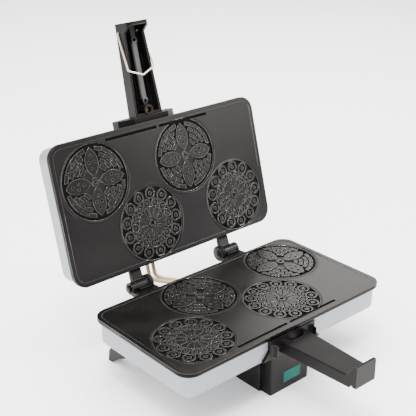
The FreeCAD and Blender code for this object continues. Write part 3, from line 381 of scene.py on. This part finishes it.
def mouldingFinish(name, gloss, withRibSheen=False):
    m = mouldingLook
    b = Bench(name)
    grit = b.grain(*m["grit"])
    cloud = b.grain(*m["cloud"])
    base = b.tint(b.ease(cloud, *m["cloudSpan"]), m["dark"], m["light"])
    # the middle rib painted pale: a painted reflection
    if withRibSheen:
        base = b.tint(ribSheenMask(b), base, ribSheenLook["pale"])
    # edges painted paler: part wear, part painted highlight
    b.coat(Base_Color=b.tint(b.wornAndHighlitEdges(m["worn"]) * m["wearAndHighlightWeight"], base, m["edge"]))
    b.coat(Roughness=b.weigh(m[gloss], cloud, grit), Specular_IOR_Level=m["specular"])
    b.coat(Normal=b.bump(grit, *m["relief"]))
    return b.mat


# drawn, plated and rolled metals: dark and light colour, roughness and how metallic
metalLook = {
    "brightWire": (shade(0.70, 0.62, 0.48), shade(0.88, 0.81, 0.67), 0.16, 0.6),
    "zincSteel": (shade(0.48, 0.48, 0.50), shade(0.62, 0.62, 0.63), 0.32, 1.0),
    "shieldSheet": (shade(0.62, 0.62, 0.63), shade(0.76, 0.76, 0.77), 0.24, 1.0),
    "elementTube": (shade(0.20, 0.17, 0.15), shade(0.33, 0.29, 0.25), 0.45, 1.0),
    "brassScrew": (shade(0.48, 0.26, 0.10), shade(0.70, 0.42, 0.18), 0.22, 1.0),
    "darkSteel": (shade(0.018, 0.018, 0.019), shade(0.045, 0.044, 0.044), 0.30, 1.0),
}

# their brush marks, long in x, and stains
brushLook = {
    "stretch": (60.0, 1200.0, 1200.0),
    "drawn": (1.0, 3.0),
    "stain": (55.0, 4.0),
    "stainSpan": (0.3, 0.7),
    "roughen": 0.12,
    "relief": (0.03, 0.0002),
}


def metalFinish(name):
    dark, light, rough, metal = metalLook[name]
    look = brushLook
    b = Bench(name)
    stretch = b.node("ShaderNodeMapping", {}, {"Vector": b.place, "Scale": look["stretch"]})
    drawn = b.grain(*look["drawn"], where=stretch)
    stain = b.grain(*look["stain"])
    b.coat(Base_Color=b.tint(b.ease(stain, *look["stainSpan"]), dark, light))
    b.coat(Metallic=metal, Roughness=rough + drawn * look["roughen"])
    b.coat(Normal=b.bump(drawn, *look["relief"]))
    return b.mat


# casing screws: plated heads, each with a cross slot painted near black as painted shade (metres)
screwLook = {
    "x": 0.1080,
    "y": 0.0463,
    "half": 0.0004,
    "reach": 0.0022,
    "soft": 0.0002,
    # painted shade: the colour put in the cross slot
    "slot": shade(0.02, 0.02, 0.02),
    "slotShadeWeight": 0.9,
    "stain": (300.0, 3.0),
    "stainSpan": (0.3, 0.7),
    "roughen": 0.1,
    "relief": (0.6, 0.0006),
}


def screwFinish(name, lid):
    look = screwLook
    dark, light, rough, metal = metalLook["zincSteel"]
    b = Bench(name)
    x, y = plateFrame(b, lid)[:2]
    across = abs(abs(x) - look["x"])
    along = abs(abs(y) - look["y"])

    def arm(narrow, long):
        return b.fade(narrow, look["half"], look["soft"]) * b.fade(long, look["reach"], look["soft"])

    slot = b.larger(arm(across, along), arm(along, across))
    stain = b.grain(*look["stain"])
    plated = b.tint(b.ease(stain, *look["stainSpan"]), dark, light)
    # the cross slot painted dark: painted shade in the recess
    b.coat(Base_Color=b.tint(slot * look["slotShadeWeight"], plated, look["slot"]))
    b.coat(Metallic=metal, Roughness=rough + stain * look["roughen"])
    b.coat(Normal=b.bump(1.0 - slot, *look["relief"]))
    return b.mat


# the pilot lens: teal moulding with fine upright prisms, painted lighter where they rise and darker where they
# sink, as painted light and shade (metres)
lensLook = {
    # shaded and lit teal for the painted light and shade
    "deep": shade(0.002, 0.036, 0.032),
    "bright": shade(0.004, 0.130, 0.112),
    "prism": 0.0011,
    "glow": (90.0, 2.0),
    "glowWeight": 0.4,
    "span": (0.1, 0.7),
    "rough": (0.16, 0.08),
    "specular": 0.12,
    "relief": (0.25, 0.0004),
}


def lensFinish():
    look = lensLook
    b = Bench("tealLens")
    x = b.parts(b.place)[0]
    prism = abs(b.sum("WRAP", x, look["prism"] / 2, -look["prism"] / 2)) / look["prism"]
    glow = b.grain(*look["glow"])
    # painted light and shade: lighter on the prisms' ridges, darker in their hollows, with a noise through it
    prismLightAndShade = b.ease(prism + glow * look["glowWeight"], *look["span"])
    b.coat(Base_Color=b.tint(prismLightAndShade, look["deep"], look["bright"]))
    b.coat(Roughness=b.weigh(look["rough"], glow), Specular_IOR_Level=look["specular"])
    b.coat(Normal=b.bump(prism, *look["relief"]))
    return b.mat


# plain stuffs with one noise: glazed ceramic inside, and the rubber of the bushing and grommets
plainLook = {
    "paleCeramic": {
        "base": shade(0.74, 0.70, 0.62),
        "speck": shade(0.55, 0.50, 0.43),
        "noise": (700.0, 2.0),
        "span": (0.55, 0.75),
        "rough": (0.25, 0.1),
        "relief": (0.05, 0.0002),
    },
    "blackRubber": {
        "base": shade(0.018, 0.018, 0.018),
        "speck": shade(0.06, 0.058, 0.055),
        "noise": (420.0, 4.0),
        "span": (0.45, 0.75),
        "rough": (0.62, 0.15),
        "relief": (0.15, 0.0003),
    },
}


def plainFinish(name):
    look = plainLook[name]
    b = Bench(name)
    noise = b.grain(*look["noise"])
    b.coat(Base_Color=b.tint(b.ease(noise, *look["span"]), look["base"], look["speck"]))
    b.coat(Roughness=b.weigh(look["rough"], noise), Normal=b.bump(noise, *look["relief"]))
    return b.mat


# braided glass-fibre sleeve: two crossed sets of strands along the tube's own map
sleeveLook = {
    "pale": shade(0.60, 0.47, 0.31),
    "deep": shade(0.30, 0.21, 0.12),
    "round": 10.0,
    "along": 46.0,
    "weave": (0.5, 0.5),
    "soil": (220.0, 4.0),
    "strandWeight": 0.6,
    "soilWeight": 0.4,
    "rough": (0.62, 0.15),
    "relief": (0.5, 0.0004),
}


def sleeveFinish():
    look = sleeveLook
    b = Bench("braidedSleeve")
    u, v = b.parts(b.node("ShaderNodeUVMap", {"uv_map": "sleeveMap"}))[:2]
    one = b.sum("SINE", (u * look["round"] + v * look["along"]) * math.tau)
    two = b.sum("SINE", (u * look["round"] - v * look["along"]) * math.tau)
    strand = b.weigh(look["weave"], one * two)
    soil = b.grain(*look["soil"])
    pale = strand * look["strandWeight"] + soil * look["soilWeight"]
    b.coat(Base_Color=b.tint(pale, look["deep"], look["pale"]))
    b.coat(Roughness=b.weigh(look["rough"], soil), Normal=b.bump(strand, *look["relief"]))
    return b.mat


# a finish for each of the record's slots, and for the nodes that differ from their slot
blackSatin = mouldingFinish("blackMoulding", "satin")
finishes = {
    "lower_grid_plate": plateFinish("lowerPlateCoat", False),
    "upper_grid_plate": plateFinish("upperPlateCoat", True),
    "satin_casing": casingFinish(),
    "black_moulding": blackSatin,
    "zinc_steel": metalFinish("zincSteel"),
    "reflector_sheet": metalFinish("shieldSheet"),
    "element_tube": metalFinish("elementTube"),
    "bright_wire": metalFinish("brightWire"),
    "teal_lens": lensFinish(),
    "ceramic_part": plainFinish("paleCeramic"),
    "black_rubber": plainFinish("blackRubber"),
    "lead_sleeve": sleeveFinish(),
    "upper_handle": mouldingFinish("glossMoulding", "polished", withRibSheen=True),
    "lower_casing_screws": screwFinish("lowerScrewHeads", False),
    "upper_casing_screws": screwFinish("upperScrewHeads", True),
}
darkSteel = metalFinish("darkSteel")
for name in ("left_hinge_pin", "right_hinge_pin", "pin_retainers"):
    finishes[name] = darkSteel

slots = {part["node"]: part["material_slot"] for part in frame["record"]["subparts"]}
for name, node in frame["nodes"].items():
    coat = finishes.get(name) or finishes[slots[name]]
    node.data.materials.clear()
    node.data.materials.append(coat)
print("finishes on all nodes")


def alone(piece):
    bpy.ops.object.select_all(action="DESELECT")
    piece.select_set(True)
    bpy.context.view_layer.objects.active = piece


# the two sleeved leads behind the hinge, bent between base and lid (metres)
leadLook = {
    "low": (-0.0146, -0.0074),  # x at the base
    "high": (-0.0376, -0.0304),  # x at the lid
    "atBase": 2,  # how many of the route's points
    "route": [  # y and z
        (0.0942, 0.0577),
        (0.1092, 0.0577),
        (0.12546, 0.06178),
        (0.12946, 0.07278),
        (0.13283, 0.08534),
    ],
    "steps": 24,
    "order": 3,
    "radius": 0.0020,
    "around": 16,
    "crease": 50.0,
}


def leadLine(name, number):
    look = leadLook
    curve = bpy.data.curves.new(name + "Line", "CURVE")
    curve.dimensions = "3D"
    curve.resolution_u = look["steps"]
    spline = curve.splines.new("NURBS")
    spline.points.add(len(look["route"]) - 1)
    for i, (y, z) in enumerate(look["route"]):
        x = look["low" if i < look["atBase"] else "high"][number]
        spline.points[i].co = (x, y, z, 1.0)
    spline.order_u = look["order"]
    spline.use_endpoint_u = True
    holder = bpy.data.objects.new(name + "Line", curve)
    bpy.context.scene.collection.objects.link(holder)
    bpy.context.view_layer.update()
    drawn = holder.evaluated_get(bpy.context.evaluated_depsgraph_get())
    line = bpy.data.meshes.new_from_object(drawn)
    points = [v.co.copy() for v in line.vertices]
    bpy.data.objects.remove(holder)
    return points


def makeLead(name, number, node):
    look = leadLook
    points = leadLine(name, number)
    around = look["around"]
    last = len(points) - 1
    verts, faces, marks = [], [], []
    run = [0.0]
    for a, b in zip(points, points[1:]):
        run.append(run[-1] + (b - a).length)
    side = Vector((1, 0, 0))
    for i, point in enumerate(points):
        ahead = (points[min(i + 1, last)] - points[max(i - 1, 0)]).normalized()
        side = (side - ahead * side.dot(ahead)).normalized()  # carried along, so the tube doesn't twist
        up = ahead.cross(side)
        for k in range(around):
            angle = math.tau * k / around
            verts.append(point + (side * math.cos(angle) + up * math.sin(angle)) * look["radius"])
    for i in range(last):
        here = i * around
        there = here + around
        for k in range(around):
            k2 = (k + 1) % around
            faces.append((here + k, here + k2, there + k2, there + k))
            marks.append((i, k))
    faces.append(tuple(reversed(range(around))))
    faces.append(tuple(last * around + k for k in range(around)))
    mesh = bpy.data.meshes.new(name)
    mesh.from_pydata(verts, [], faces)
    uv = mesh.uv_layers.new(name="sleeveMap")
    corner = 0
    for i, k in marks:
        for di, dk in ((0, 0), (0, 1), (1, 1), (1, 0)):
            uv.data[corner].uv = ((k + dk) / around, run[i + di] / run[-1])
            corner += 1
    lead = bpy.data.objects.new(name, mesh)
    bpy.context.scene.collection.objects.link(lead)
    alone(lead)
    bpy.ops.object.mode_set(mode="EDIT")
    bpy.ops.mesh.select_all(action="SELECT")
    bpy.ops.mesh.normals_make_consistent(inside=False)
    bpy.ops.object.mode_set(mode="OBJECT")
    bpy.ops.object.shade_smooth_by_angle(angle=math.radians(look["crease"]))
    mesh.materials.append(finishes["lead_sleeve"])
    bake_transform(lead)
    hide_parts(node)


makeLead("leftLead", 0, "left_jumper_lead")
makeLead("rightLead", 1, "right_jumper_lead")
print("leads routed")


def roundRims(piece, look, chosen):
    # bevels the edges that are chosen by the heights of their two ends
    alone(piece)
    bpy.ops.object.mode_set(mode="EDIT")
    bpy.ops.mesh.select_mode(type="EDGE")
    bpy.ops.mesh.select_all(action="DESELECT")
    bpy.ops.object.mode_set(mode="OBJECT")
    for edge in piece.data.edges:
        edge.select = chosen(*(piece.data.vertices[i].co.z for i in edge.vertices))
    bpy.ops.object.mode_set(mode="EDIT")
    bpy.ops.mesh.bevel(offset=look["round"], segments=look["steps"], affect="EDGES")
    bpy.ops.object.mode_set(mode="OBJECT")


def cutAway(piece, tool):
    cut = piece.modifiers.new("cut", "BOOLEAN")
    cut.object = tool
    alone(piece)
    bpy.ops.object.modifier_apply(modifier="cut")
    bpy.data.objects.remove(tool)


def settle(piece, place, crease):
    # the piece's place goes into its mesh
    alone(piece)
    bpy.ops.object.transform_apply(location=True, rotation=True, scale=True)
    piece.matrix_world = place
    bpy.ops.object.transform_apply(location=True, rotation=True, scale=True)
    bpy.ops.object.shade_smooth_by_angle(angle=math.radians(crease))


# the brass screw at the bottom of the upper handle's root boss, in the closed lid's frame (metres)
rootScrew = {
    "place": (0.0, -0.0804, 0.0160),  # the bore's floor, head towards the plate
    "radius": 0.0028,
    "height": 0.0022,
    "around": 40,
    "round": 0.0009,
    "steps": 5,
    "slot": (0.0034, 0.0007, 0.0014),  # length, width and depth of the cross recess
    "crease": 35.0,
}


def onLid(place):
    # from the closed lid's frame to where the open lid stands
    hinge = Matrix.Translation(hingePlace)
    swing = Matrix.Rotation(-openAngle, 4, "X")
    middle = Matrix.Translation(plateLook["middle"])
    return hinge @ swing @ hinge.inverted() @ middle @ Matrix.Translation(place)


def makeRootScrew():
    look = rootScrew
    top = look["height"]
    bpy.ops.mesh.primitive_cylinder_add(vertices=look["around"], radius=look["radius"], depth=top,
                                        location=(0, 0, top / 2))
    screw = bpy.context.object
    screw.name = "rootScrew"
    roundRims(screw, look, lambda a, b: min(a, b) > 0.0)  # the upper rim, as heights count from the middle
    length, width, depth = look["slot"]
    for degrees in (0.0, 90.0):
        bpy.ops.mesh.primitive_cube_add(size=1.0, location=(0, 0, top),
                                        rotation=(0, 0, math.radians(degrees)))
        blade = bpy.context.object
        blade.scale = (length, width, 2 * depth)
        cutAway(screw, blade)
    settle(screw, onLid(look["place"]) @ Matrix.Rotation(math.pi, 4, "X"), look["crease"])
    screw.data.materials.append(metalFinish("brassScrew"))
    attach(screw, "lid")


makeRootScrew()
print("root screw in place")

# round collars on the base's inner hinge ears (metres)
collarLook = {
    "middle": 0.0490,  # x of the right one
    "radius": 0.0086,
    "bore": 0.0063,
    "width": 0.0050,
    "around": 72,
    "round": 0.0014,
    "steps": 5,
    "crease": 35.0,
}


def makeCollars():
    look = collarLook
    around = look["around"]
    bpy.ops.mesh.primitive_cylinder_add(vertices=around, radius=look["radius"], depth=look["width"])
    collar = bpy.context.object
    collar.name = "rightCollar"
    roundRims(collar, look, lambda a, b: abs(a - b) < look["round"])  # the two end rims
    bpy.ops.mesh.primitive_cylinder_add(vertices=around, radius=look["bore"], depth=3 * look["width"])
    cutAway(collar, bpy.context.object)
    place = Matrix.Translation((look["middle"],) + hingePlace[1:])
    settle(collar, place @ Matrix.Rotation(math.pi / 2, 4, "Y"), look["crease"])
    collar.data.materials.append(blackSatin)
    twin = collar.copy()
    twin.name = "leftCollar"
    twin.data = collar.data.copy()
    twin.data.transform(Matrix.Translation((-2 * look["middle"], 0, 0)))
    bpy.context.scene.collection.objects.link(twin)
    for piece in (collar, twin):
        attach(piece, "base")


makeCollars()
print("collars on the hinge ears")

# pale floor and soft light
# the key and the top light don't show in glossy pieces, which keeps those black
studio = {
    "floorSize": 14.0,
    "floor": shade(0.90, 0.90, 0.90),
    "patch": shade(0.88, 0.88, 0.88),
    "cloud": (3.0, 2.0),
    "rough": 0.7,
    "glow": 0.35,
    "lights": {
        "key": {"place": (-1.2, -0.3, 1.6), "size": 1.0, "power": 30.0, "glossy": False},
        "fill": {"place": (1.3, 0.75, 1.0), "size": 0.8, "power": 7.0, "glossy": True},
        "top": {"place": (0.1, 0.5, 2.2), "size": 2.4, "power": 230.0, "glossy": False},
        "overhead": {"place": (-0.45, -0.25, 1.6), "size": 0.3, "power": 15.0, "glossy": True},
        "side": {"place": (0.95, -0.5, 1.15), "size": 0.3, "power": 10.0, "glossy": True},
        "front": {"place": (1.0, -1.0, 0.48), "size": 0.45, "power": 3.0, "glossy": True},
    },
    "warmth": (1.0, 0.965, 0.935),
    "aim": (0, 0.05, 0.12),
    "skyShade": shade(1.0, 1.0, 1.0),
    "sky": 0.95,
}


def layFloor():
    bpy.ops.mesh.primitive_plane_add(size=studio["floorSize"], location=(0, 0, 0))
    floor = bpy.context.object
    floor.name = "studioFloor"
    b = Bench("studioFloor")
    b.coat(Base_Color=b.tint(b.grain(*studio["cloud"]), studio["patch"], studio["floor"]))
    b.coat(Roughness=studio["rough"])
    b.coat(Emission_Color=studio["floor"], Emission_Strength=studio["glow"])
    floor.data.materials.append(b.mat)


def hangLight(name, light):
    lamp = bpy.data.lights.new(name + "Light", "AREA")
    lamp.energy = light["power"]
    lamp.size = light["size"]
    lamp.color = studio["warmth"]
    holder = bpy.data.objects.new(name + "Light", lamp)
    holder.location = light["place"]
    aim = Vector(studio["aim"]) - Vector(light["place"])
    holder.rotation_euler = aim.to_track_quat("-Z", "Y").to_euler()
    holder.visible_glossy = light["glossy"]
    bpy.context.scene.collection.objects.link(holder)


layFloor()
for name, light in studio["lights"].items():
    hangLight(name, light)
world = bpy.data.worlds.new("studioSky")
world.use_nodes = True
sky = world.node_tree.nodes["Background"]
sky.inputs["Color"].default_value = studio["skyShade"]
sky.inputs["Strength"].default_value = studio["sky"]
bpy.context.scene.world = world
print("studio lit")
